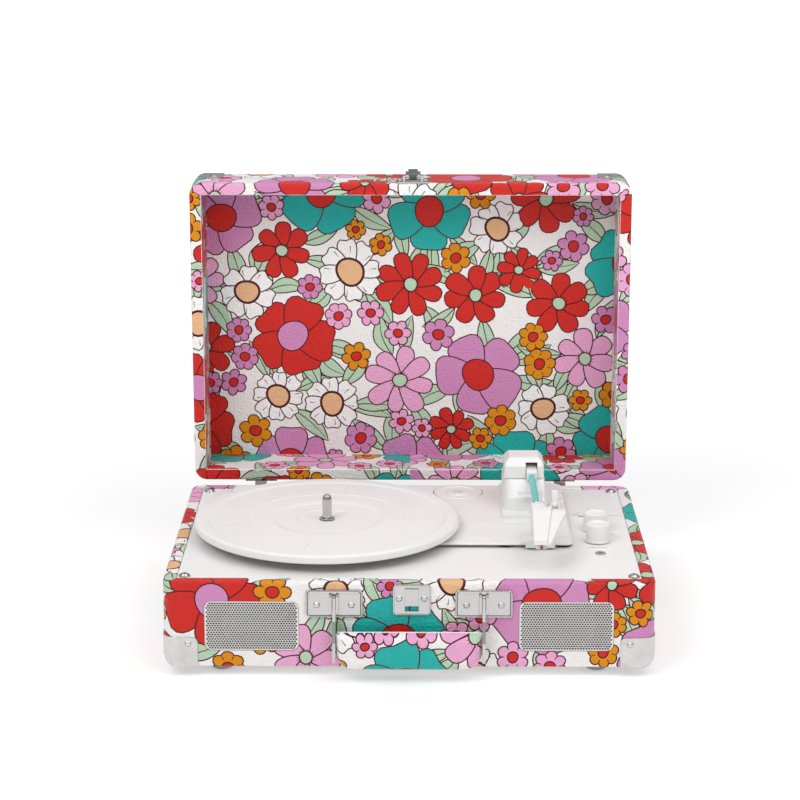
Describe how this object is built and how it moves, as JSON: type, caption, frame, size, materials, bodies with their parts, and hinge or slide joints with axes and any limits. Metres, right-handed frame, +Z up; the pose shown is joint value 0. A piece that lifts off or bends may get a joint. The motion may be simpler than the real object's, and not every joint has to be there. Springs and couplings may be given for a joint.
{
  "type": "suitcase record player",
  "caption": "Portable record player in a small suitcase with a fold-up lid, belt-driven platter, pivoted tone arm, built-in speakers, latch and padded carrying handle.",
  "frame": {"origin": "on the surface under the feet, below the middle of the case", "axes": "+X to the right, -Y to the front where the handle hangs, +Z up; the lid stands open at the back"},
  "size_m": [0.3566, 0.334, 0.3235],
  "materials": {
    "printed_vinyl": "vinyl cloth with a printed flower pattern and fine leather grain",
    "wood": "raw pine block",
    "rubber": "matte moulded grey rubber",
    "black_rubber": "matte black rubber",
    "silver_metal": "pressed sheet, lightly worn",
    "chrome": "bright plated steel",
    "white_plastic": "satin moulded plastic",
    "grey_plastic": "satin moulded plastic",
    "teal_tube": "pale green-blue lacquered aluminium tube",
    "red_plastic": "moulded stylus holder",
    "brass": "turned brass",
    "steel": "plain steel",
    "gold": "plated socket barrel",
    "board": "glass-fibre board",
    "grille_metal": "perforated sheet with small staggered holes",
    "paper_cone": "coated paper cone"
  },
  "bodies": {
    "base": {"base_case": "printed_vinyl", "corner_blocks": "wood", "feet": "rubber", "case_corner_caps": "silver_metal", "case_rivets": "silver_metal", "hinge_case_leaves": "chrome", "hinge_pins": "chrome", "plinth_plate": "white_plastic", "cup_washers": "chrome", "plinth_screws": "chrome", "deck_chassis": "white_plastic", "deck_mounts": "black_rubber", "spindle": "chrome", "spindle_clip": "chrome", "drive_motor": "steel", "drive_belt": "black_rubber", "tonearm_base": "white_plastic", "arm_rest": "white_plastic", "volume_pot": "grey_plastic", "function_switch": "grey_plastic", "headphone_jack": "grey_plastic", "amplifier_board": "board", "board_spacers": "brass", "rear_panel": "grey_plastic", "rca_sockets": "gold", "dc_inlet": "grey_plastic", "grille_left": "grille_metal", "grille_right": "grille_metal", "speaker_frames": "steel", "speaker_cones": "paper_cone", "handle_brackets": "chrome", "latch_strike": "chrome"},
    "platter": {"platter": "white_plastic", "platter_bush": "brass"},
    "pulley": {"motor_pulley": "brass"},
    "arm_swivel": {"arm_housing": "white_plastic", "pitch_pin": "chrome"},
    "arm": {"arm_block": "white_plastic", "arm_tube": "teal_tube", "headshell": "white_plastic", "cartridge": "white_plastic", "stylus": "red_plastic"},
    "cue_lever": {"cue_lever": "white_plastic"},
    "lift_bar": {"lift_bar": "white_plastic"},
    "speed_slider": {"speed_slider": "white_plastic"},
    "autostop_slider": {"autostop_slider": "white_plastic"},
    "adapter": {"adapter_45": "white_plastic"},
    "volume_knob": {"volume_knob": "white_plastic"},
    "function_knob": {"function_knob": "white_plastic"},
    "handle": {"handle_straps": "chrome", "handle_grip": "printed_vinyl"},
    "lid": {"lid_shell": "printed_vinyl", "lid_corner_caps": "silver_metal", "lid_rivets": "silver_metal", "hinge_lid_leaves": "chrome", "latch_plate": "chrome", "latch_pin": "chrome", "latch_spring": "steel"},
    "hasp": {"latch_hasp": "chrome"}
  },
  "joints": [
    {"name": "platter_spin", "type": "hinge", "parent": "base", "child": "platter", "pos_m": [-0.063, -0.004, 0.08], "axis": [0, 0, -1], "continuous": true},
    {"name": "pulley_spin", "type": "hinge", "parent": "base", "child": "pulley", "pos_m": [-0.1224, 0.0554, 0.078], "axis": [0, 0, -1], "continuous": true},
    {"name": "arm_yaw", "type": "hinge", "parent": "base", "child": "arm_swivel", "pos_m": [0.09, 0.0635, 0.099], "axis": [0, 0, -1], "range_deg": [0, 46]},
    {"name": "arm_lift", "type": "hinge", "parent": "arm_swivel", "child": "arm", "pos_m": [0.0953, 0.0645, 0.103], "axis": [-1, 0, 0], "range_deg": [0, 6]},
    {"name": "cue_lever_turn", "type": "hinge", "parent": "base", "child": "cue_lever", "pos_m": [0.113, 0.037, 0.0814], "axis": [1, 0, 0], "range_deg": [0, 40]},
    {"name": "lift_bar_rise", "type": "slide", "parent": "base", "child": "lift_bar", "axis": [0, 0, 1], "range_m": [0, 0.0031]},
    {"name": "speed_slide", "type": "slide", "parent": "base", "child": "speed_slider", "axis": [0, 1, 0], "range_m": [0, 0.01]},
    {"name": "autostop_slide", "type": "slide", "parent": "base", "child": "autostop_slider", "axis": [0, 1, 0], "range_m": [0, 0.008]},
    {"name": "adapter_lift_off", "type": "slide", "parent": "base", "child": "adapter", "axis": [0, 0, 1], "range_m": [0, 0.03]},
    {"name": "volume_turn", "type": "hinge", "parent": "base", "child": "volume_knob", "pos_m": [0.1423, -0.0235, 0.078], "axis": [0, 0, -1], "range_deg": [0, 290]},
    {"name": "function_turn", "type": "hinge", "parent": "base", "child": "function_knob", "pos_m": [0.1423, 0.004, 0.078], "axis": [0, 0, -1], "range_deg": [-40, 40]},
    {"name": "handle_swing", "type": "hinge", "parent": "base", "child": "handle", "pos_m": [0, -0.1267, 0.061], "axis": [-1, 0, 0], "range_deg": [0, 110]},
    {"name": "lid_hinge", "type": "hinge", "parent": "base", "child": "lid", "pos_m": [0, 0.1322, 0.061], "axis": [1, 0, 0], "range_deg": [0, 90]},
    {"name": "hasp_turn", "type": "hinge", "parent": "lid", "child": "hasp", "pos_m": [0.002, 0.1487, 0.3209], "axis": [1, 0, 0], "range_deg": [0, 180]}
  ],
  "couplings": [
    {"joint": "pulley_spin", "follows": "platter_spin", "ratio": 16.172},
    {"joint": "lift_bar_rise", "follows": "cue_lever_turn", "m_per_rad": 0.0043}
  ]
}
